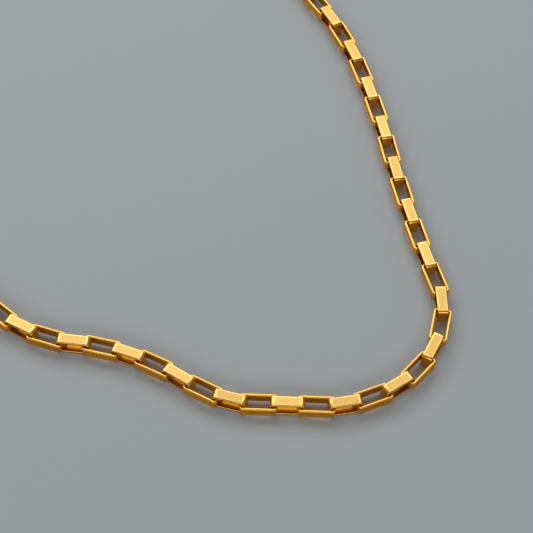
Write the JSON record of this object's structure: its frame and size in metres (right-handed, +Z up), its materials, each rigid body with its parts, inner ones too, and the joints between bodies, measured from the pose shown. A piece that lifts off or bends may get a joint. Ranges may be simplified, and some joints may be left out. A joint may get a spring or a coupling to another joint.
{
  "type": "chain necklace",
  "caption": "Gold box-chain necklace of flat rectangular strip links, alternately flat and on edge, laid open with a sprung claw clasp.",
  "frame": {"origin": "middle of the front link's lower face, on the surface that the chain lies on", "axes": "+Z up; +X to the right and +Y away from a person who has the chain's corner at the front right"},
  "size_m": [0.2166, 0.2072, 0.0053],
  "materials": {
    "satin_gold": "gold with finely brushed satin faces and polished bevels along the strip's edges",
    "polished_gold": "polished gold, smooth and bright",
    "spring_steel": "plain spring steel"
  },
  "bodies": {
    "link_front": {"link_front": "satin_gold"},
    "link_right_01": {"link_right_01": "satin_gold"},
    "link_right_02": {"link_right_02": "satin_gold"},
    "link_right_03": {"link_right_03": "satin_gold"},
    "link_right_04": {"link_right_04": "satin_gold"},
    "link_right_05": {"link_right_05": "satin_gold"},
    "link_right_06": {"link_right_06": "satin_gold"},
    "link_right_07": {"link_right_07": "satin_gold"},
    "link_right_08": {"link_right_08": "satin_gold"},
    "link_right_09": {"link_right_09": "satin_gold"},
    "link_right_10": {"link_right_10": "satin_gold"},
    "link_right_11": {"link_right_11": "satin_gold"},
    "link_right_12": {"link_right_12": "satin_gold"},
    "link_right_13": {"link_right_13": "satin_gold"},
    "link_right_14": {"link_right_14": "satin_gold"},
    "link_right_15": {"link_right_15": "satin_gold"},
    "link_right_16": {"link_right_16": "satin_gold"},
    "link_right_17": {"link_right_17": "satin_gold"},
    "link_right_18": {"link_right_18": "satin_gold"},
    "link_right_19": {"link_right_19": "satin_gold"},
    "link_right_20": {"link_right_20": "satin_gold"},
    "link_right_21": {"link_right_21": "satin_gold"},
    "link_right_22": {"link_right_22": "satin_gold"},
    "link_right_23": {"link_right_23": "satin_gold"},
    "link_right_24": {"link_right_24": "satin_gold"},
    "link_right_25": {"link_right_25": "satin_gold"},
    "link_right_26": {"link_right_26": "satin_gold"},
    "link_left_01": {"link_left_01": "satin_gold"},
    "link_left_02": {"link_left_02": "satin_gold"},
    "link_left_03": {"link_left_03": "satin_gold"},
    "link_left_04": {"link_left_04": "satin_gold"},
    "link_left_05": {"link_left_05": "satin_gold"},
    "link_left_06": {"link_left_06": "satin_gold"},
    "link_left_07": {"link_left_07": "satin_gold"},
    "link_left_08": {"link_left_08": "satin_gold"},
    "link_left_09": {"link_left_09": "satin_gold"},
    "link_left_10": {"link_left_10": "satin_gold"},
    "link_left_11": {"link_left_11": "satin_gold"},
    "link_left_12": {"link_left_12": "satin_gold"},
    "link_left_13": {"link_left_13": "satin_gold"},
    "link_left_14": {"link_left_14": "satin_gold"},
    "link_left_15": {"link_left_15": "satin_gold"},
    "link_left_16": {"link_left_16": "satin_gold"},
    "link_left_17": {"link_left_17": "satin_gold"},
    "link_left_18": {"link_left_18": "satin_gold"},
    "link_left_19": {"link_left_19": "satin_gold"},
    "link_left_20": {"link_left_20": "satin_gold"},
    "link_left_21": {"link_left_21": "satin_gold"},
    "link_left_22": {"link_left_22": "satin_gold"},
    "link_left_23": {"link_left_23": "satin_gold"},
    "link_left_24": {"link_left_24": "satin_gold"},
    "catch_ring": {"catch_ring": "polished_gold"},
    "link_ring": {"link_ring": "polished_gold"},
    "clasp_ring": {"clasp_ring": "polished_gold"},
    "clasp": {"clasp_body": "polished_gold", "clasp_pin": "polished_gold", "clasp_spring": "spring_steel"},
    "clasp_lever": {"clasp_lever": "polished_gold"}
  },
  "joints": [
    {"name": "right_turn_01", "type": "hinge", "parent": "link_front", "child": "link_right_01", "pos_m": [0.00305, 0.00218, 0.00265], "axis": [0, 0, 1], "range_deg": [-34.5, 5.5]},
    {"name": "right_turn_02", "type": "hinge", "parent": "link_right_01", "child": "link_right_02", "pos_m": [0.00852, 0.00869, 0.00265], "axis": [0, 0, -1], "range_deg": [-5.5, 34.5]},
    {"name": "right_turn_03", "type": "hinge", "parent": "link_right_02", "child": "link_right_03", "pos_m": [0.01175, 0.01546, 0.00265], "axis": [0, 0, 1], "range_deg": [-34.5, 5.5]},
    {"name": "right_turn_04", "type": "hinge", "parent": "link_right_03", "child": "link_right_04", "pos_m": [0.01337, 0.0238, 0.00265], "axis": [0, 0, -1], "range_deg": [-5.5, 34.5]},
    {"name": "right_turn_05", "type": "hinge", "parent": "link_right_04", "child": "link_right_05", "pos_m": [0.01291, 0.03129, 0.00265], "axis": [0, 0, 1], "range_deg": [-34.5, 5.5]},
    {"name": "right_turn_06", "type": "hinge", "parent": "link_right_05", "child": "link_right_06", "pos_m": [0.01028, 0.03937, 0.00265], "axis": [0, 0, -1], "range_deg": [-21, 19]},
    {"name": "right_turn_07", "type": "hinge", "parent": "link_right_06", "child": "link_right_07", "pos_m": [0.00809, 0.04654, 0.00265], "axis": [0, 0, 1], "range_deg": [-19, 21]},
    {"name": "right_turn_08", "type": "hinge", "parent": "link_right_07", "child": "link_right_08", "pos_m": [0.00575, 0.05472, 0.00265], "axis": [0, 0, -1], "range_deg": [-21, 19]},
    {"name": "right_turn_09", "type": "hinge", "parent": "link_right_08", "child": "link_right_09", "pos_m": [0.00381, 0.06196, 0.00265], "axis": [0, 0, 1], "range_deg": [-19, 21]},
    {"name": "right_turn_10", "type": "hinge", "parent": "link_right_09", "child": "link_right_10", "pos_m": [0.00175, 0.07021, 0.00265], "axis": [0, 0, -1], "range_deg": [-21, 19]},
    {"name": "right_turn_11", "type": "hinge", "parent": "link_right_10", "child": "link_right_11", "pos_m": [0.00006, 0.07752, 0.00265], "axis": [0, 0, 1], "range_deg": [-19, 21]},
    {"name": "right_turn_12", "type": "hinge", "parent": "link_right_11", "child": "link_right_12", "pos_m": [-0.0017, 0.08583, 0.00265], "axis": [0, 0, -1], "range_deg": [-18.5, 21.5]},
    {"name": "right_turn_13", "type": "hinge", "parent": "link_right_12", "child": "link_right_13", "pos_m": [-0.00346, 0.09312, 0.00265], "axis": [0, 0, 1], "range_deg": [-21.5, 18.5]},
    {"name": "right_turn_14", "type": "hinge", "parent": "link_right_13", "child": "link_right_14", "pos_m": [-0.00566, 0.10133, 0.00265], "axis": [0, 0, -1], "range_deg": [-18.5, 21.5]},
    {"name": "right_turn_15", "type": "hinge", "parent": "link_right_14", "child": "link_right_15", "pos_m": [-0.00779, 0.10852, 0.00265], "axis": [0, 0, 1], "range_deg": [-21.5, 18.5]},
    {"name": "right_turn_16", "type": "hinge", "parent": "link_right_15", "child": "link_right_16", "pos_m": [-0.01041, 0.11661, 0.00265], "axis": [0, 0, -1], "range_deg": [-16, 24]},
    {"name": "right_turn_17", "type": "hinge", "parent": "link_right_16", "child": "link_right_17", "pos_m": [-0.01322, 0.12356, 0.00265], "axis": [0, 0, 1], "range_deg": [-24, 16]},
    {"name": "right_turn_18", "type": "hinge", "parent": "link_right_17", "child": "link_right_18", "pos_m": [-0.01695, 0.1312, 0.00265], "axis": [0, 0, -1], "range_deg": [-16, 24]},
    {"name": "right_turn_19", "type": "hinge", "parent": "link_right_18", "child": "link_right_19", "pos_m": [-0.0207, 0.1377, 0.00265], "axis": [0, 0, 1], "range_deg": [-24, 16]},
    {"name": "right_turn_20", "type": "hinge", "parent": "link_right_19", "child": "link_right_20", "pos_m": [-0.02545, 0.14474, 0.00265], "axis": [0, 0, -1], "range_deg": [-16, 24]},
    {"name": "right_turn_21", "type": "hinge", "parent": "link_right_20", "child": "link_right_21", "pos_m": [-0.03007, 0.15065, 0.00265], "axis": [0, 0, 1], "range_deg": [-24, 16]},
    {"name": "right_turn_22", "type": "hinge", "parent": "link_right_21", "child": "link_right_22", "pos_m": [-0.03576, 0.15697, 0.00265], "axis": [0, 0, -1], "range_deg": [-26, 14]},
    {"name": "right_turn_23", "type": "hinge", "parent": "link_right_22", "child": "link_right_23", "pos_m": [-0.04016, 0.16304, 0.00265], "axis": [0, 0, 1], "range_deg": [-14, 26]},
    {"name": "right_turn_24", "type": "hinge", "parent": "link_right_23", "child": "link_right_24", "pos_m": [-0.04441, 0.1704, 0.00265], "axis": [0, 0, -1], "range_deg": [-26, 14]},
    {"name": "right_turn_25", "type": "hinge", "parent": "link_right_24", "child": "link_right_25", "pos_m": [-0.04747, 0.17725, 0.00265], "axis": [0, 0, 1], "range_deg": [-14, 26]},
    {"name": "right_turn_26", "type": "hinge", "parent": "link_right_25", "child": "link_right_26", "pos_m": [-0.05009, 0.18533, 0.00265], "axis": [0, 0, -1], "range_deg": [-26, 14]},
    {"name": "left_turn_01", "type": "hinge", "parent": "link_front", "child": "link_left_01", "pos_m": [-0.00305, -0.00218, 0.00265], "axis": [0, 0, 1], "range_deg": [-8, 32]},
    {"name": "left_turn_02", "type": "hinge", "parent": "link_left_01", "child": "link_left_02", "pos_m": [-0.01085, -0.00557, 0.00265], "axis": [0, 0, -1], "range_deg": [-32, 8]},
    {"name": "left_turn_03", "type": "hinge", "parent": "link_left_02", "child": "link_left_03", "pos_m": [-0.0182, -0.00706, 0.00265], "axis": [0, 0, 1], "range_deg": [-8, 32]},
    {"name": "left_turn_04", "type": "hinge", "parent": "link_left_03", "child": "link_left_04", "pos_m": [-0.0267, -0.00699, 0.00265], "axis": [0, 0, -1], "range_deg": [-20, 20]},
    {"name": "left_turn_05", "type": "hinge", "parent": "link_left_04", "child": "link_left_05", "pos_m": [-0.0342, -0.00692, 0.00265], "axis": [0, 0, 1], "range_deg": [-20, 20]},
    {"name": "left_turn_06", "type": "hinge", "parent": "link_left_05", "child": "link_left_06", "pos_m": [-0.0427, -0.00685, 0.00265], "axis": [0, 0, -1], "range_deg": [-33, 7]},
    {"name": "left_turn_07", "type": "hinge", "parent": "link_left_06", "child": "link_left_07", "pos_m": [-0.04999, -0.0051, 0.00265], "axis": [0, 0, 1], "range_deg": [-7, 33]},
    {"name": "left_turn_08", "type": "hinge", "parent": "link_left_07", "child": "link_left_08", "pos_m": [-0.0576, -0.0013, 0.00265], "axis": [0, 0, -1], "range_deg": [-25, 15]},
    {"name": "left_turn_09", "type": "hinge", "parent": "link_left_08", "child": "link_left_09", "pos_m": [-0.06399, 0.00261, 0.00265], "axis": [0, 0, 1], "range_deg": [-26.5, 13.5]},
    {"name": "left_turn_10", "type": "hinge", "parent": "link_left_09", "child": "link_left_10", "pos_m": [-0.07169, 0.00621, 0.00265], "axis": [0, 0, -1], "range_deg": [-13.5, 26.5]},
    {"name": "left_turn_11", "type": "hinge", "parent": "link_left_10", "child": "link_left_11", "pos_m": [-0.07881, 0.00859, 0.00265], "axis": [0, 0, 1], "range_deg": [-26.5, 13.5]},
    {"name": "left_turn_12", "type": "hinge", "parent": "link_left_11", "child": "link_left_12", "pos_m": [-0.08712, 0.01035, 0.00265], "axis": [0, 0, -1], "range_deg": [-13.5, 26.5]},
    {"name": "left_turn_13", "type": "hinge", "parent": "link_left_12", "child": "link_left_13", "pos_m": [-0.09459, 0.01107, 0.00265], "axis": [0, 0, 1], "range_deg": [-9, 31]},
    {"name": "left_turn_14", "type": "hinge", "parent": "link_left_13", "child": "link_left_14", "pos_m": [-0.10274, 0.01349, 0.00265], "axis": [0, 0, -1], "range_deg": [-31, 9]},
    {"name": "left_turn_15", "type": "hinge", "parent": "link_left_14", "child": "link_left_15", "pos_m": [-0.10939, 0.01695, 0.00265], "axis": [0, 0, 1], "range_deg": [-9, 31]},
    {"name": "left_turn_16", "type": "hinge", "parent": "link_left_15", "child": "link_left_16", "pos_m": [-0.11604, 0.02224, 0.00265], "axis": [0, 0, -1], "range_deg": [-20, 20]},
    {"name": "left_turn_17", "type": "hinge", "parent": "link_left_16", "child": "link_left_17", "pos_m": [-0.12191, 0.02691, 0.00265], "axis": [0, 0, 1], "range_deg": [-29, 11]},
    {"name": "left_turn_18", "type": "hinge", "parent": "link_left_17", "child": "link_left_18", "pos_m": [-0.12931, 0.0311, 0.00265], "axis": [0, 0, -1], "range_deg": [-11, 29]},
    {"name": "left_turn_19", "type": "hinge", "parent": "link_left_18", "child": "link_left_19", "pos_m": [-0.13633, 0.03372, 0.00265], "axis": [0, 0, 1], "range_deg": [-29, 11]},
    {"name": "left_turn_20", "type": "hinge", "parent": "link_left_19", "child": "link_left_20", "pos_m": [-0.14466, 0.03542, 0.00265], "axis": [0, 0, -1], "range_deg": [-11, 29]},
    {"name": "left_turn_21", "type": "hinge", "parent": "link_left_20", "child": "link_left_21", "pos_m": [-0.15216, 0.03574, 0.00265], "axis": [0, 0, 1], "range_deg": [-26, 14]},
    {"name": "left_turn_22", "type": "hinge", "parent": "link_left_21", "child": "link_left_22", "pos_m": [-0.16064, 0.03522, 0.00265], "axis": [0, 0, -1], "range_deg": [-14, 26]},
    {"name": "left_turn_23", "type": "hinge", "parent": "link_left_22", "child": "link_left_23", "pos_m": [-0.16804, 0.03399, 0.00265], "axis": [0, 0, 1], "range_deg": [-26, 14]},
    {"name": "left_turn_24", "type": "hinge", "parent": "link_left_23", "child": "link_left_24", "pos_m": [-0.17623, 0.03172, 0.00265], "axis": [0, 0, -1], "range_deg": [-14, 26]},
    {"name": "catch_ring_swing", "type": "hinge", "parent": "link_right_26", "child": "catch_ring", "pos_m": [-0.05179, 0.19333, 0.00265], "axis": [0, 0, 1], "range_deg": [-17, 33]},
    {"name": "link_ring_swing", "type": "hinge", "parent": "link_left_24", "child": "link_ring", "pos_m": [-0.18383, 0.02872, 0.00265], "axis": [0, 0, 1], "range_deg": [-33, 17]},
    {"name": "clasp_ring_swing", "type": "hinge", "parent": "link_ring", "child": "clasp_ring", "pos_m": [-0.18712, 0.02686, 0.00265], "axis": [0, 0, 1], "range_deg": [-15, 35]},
    {"name": "clasp_swing", "type": "hinge", "parent": "clasp_ring", "child": "clasp", "pos_m": [-0.18995, 0.02586, 0.00265], "axis": [0, 0, 1], "range_deg": [-54, 26]},
    {"name": "lever_open", "type": "hinge", "parent": "clasp", "child": "clasp_lever", "pos_m": [-0.19315, 0.0229, 0.00265], "axis": [0, 0, -1], "range_deg": [0, 18], "stiffness_Nm_per_rad": 0.002, "springref_deg": -20.05, "deforming": ["clasp_spring"]}
  ]
}
